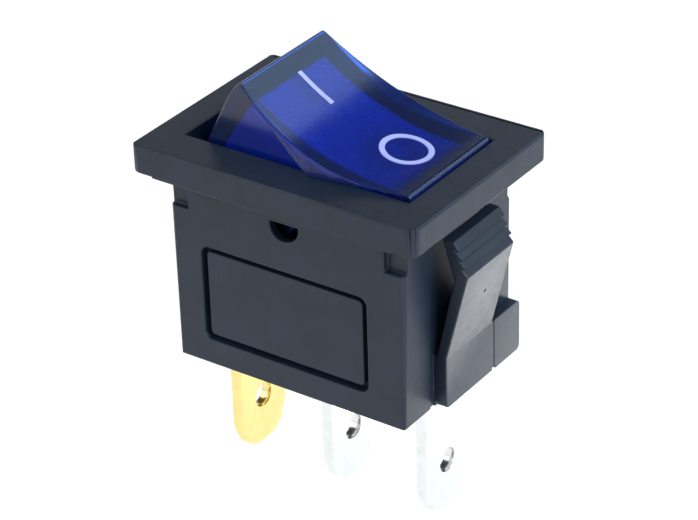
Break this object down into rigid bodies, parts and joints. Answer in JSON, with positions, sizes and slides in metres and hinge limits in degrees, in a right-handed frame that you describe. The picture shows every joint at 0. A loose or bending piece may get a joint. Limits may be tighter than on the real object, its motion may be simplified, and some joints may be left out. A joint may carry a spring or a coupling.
{
  "type": "illuminated rocker switch",
  "caption": "Miniature snap-in rocker switch: black bezel and body with side clips, a clear blue rocker with a lamp inside, and flat tab terminals below.",
  "frame": {"origin": "middle of the panel seat, the underside of the bezel, on the switch's centre line", "axes": "+X along the bezel towards the end pressed for off, +Y across it, +Z out of the panel towards the user"},
  "size_m": [0.022, 0.015, 0.029],
  "materials": {
    "black_nylon": "fine satin moulding",
    "blue_clear": "polished tinted polycarbonate",
    "milky_clear": "prismatic frosted sheet",
    "white_ink": "pad print",
    "white_plastic": "satin moulding",
    "lamp_glass": "clear blown glass",
    "tinned_wire": "tinned",
    "resistor_body": "lacquer",
    "resistor_paint": "lacquer bands",
    "brass": "stamped, bright",
    "spring_steel": "drawn wire",
    "copper_strip": "stamped, bright",
    "silver_contact": "silver alloy",
    "silver_plate": "silver-plated, bright"
  },
  "bodies": {
    "base": {"housing": "black_nylon", "terminal_lamp": "brass", "terminal_common": "silver_plate", "terminal_load": "silver_plate", "fixed_contact": "silver_contact", "lamp_spring_left": "spring_steel", "lamp_spring_right": "spring_steel"},
    "rocker": {"rocker_cap": "blue_clear", "diffuser": "milky_clear", "mark_on": "white_ink", "mark_off": "white_ink", "lamp_carrier": "white_plastic", "lamp_glass": "lamp_glass", "lamp_electrodes": "tinned_wire", "resistor": "resistor_body", "resistor_bands": "resistor_paint", "lamp_lead": "tinned_wire", "link_wire": "tinned_wire", "resistor_lead": "tinned_wire", "pad_left": "brass", "pad_right": "brass", "plunger_spring": "spring_steel"},
    "plunger": {"plunger": "white_plastic"},
    "bar": {"contact_bar": "copper_strip", "moving_contact": "silver_contact"}
  },
  "joints": [
    {"name": "rocker_hinge", "type": "hinge", "parent": "base", "child": "rocker", "pos_m": [0, 0, -0.0015], "axis": [0, -1, 0], "range_deg": [0, 39], "deforming": ["lamp_spring_left", "lamp_spring_right"]},
    {"name": "plunger_slide", "type": "slide", "parent": "rocker", "child": "plunger", "axis": [0.3338, 0, 0.9426], "range_m": [0, 0.0005], "stiffness_N_per_m": 20, "springref_m": -0.0005, "deforming": ["plunger_spring"]},
    {"name": "bar_hinge", "type": "hinge", "parent": "base", "child": "bar", "pos_m": [0, 0, -0.00845], "axis": [0, 1, 0], "range_deg": [0, 14]}
  ],
  "couplings": [
    {"joint": "bar_hinge", "follows": "rocker_hinge", "ratio": 0.35897}
  ]
}
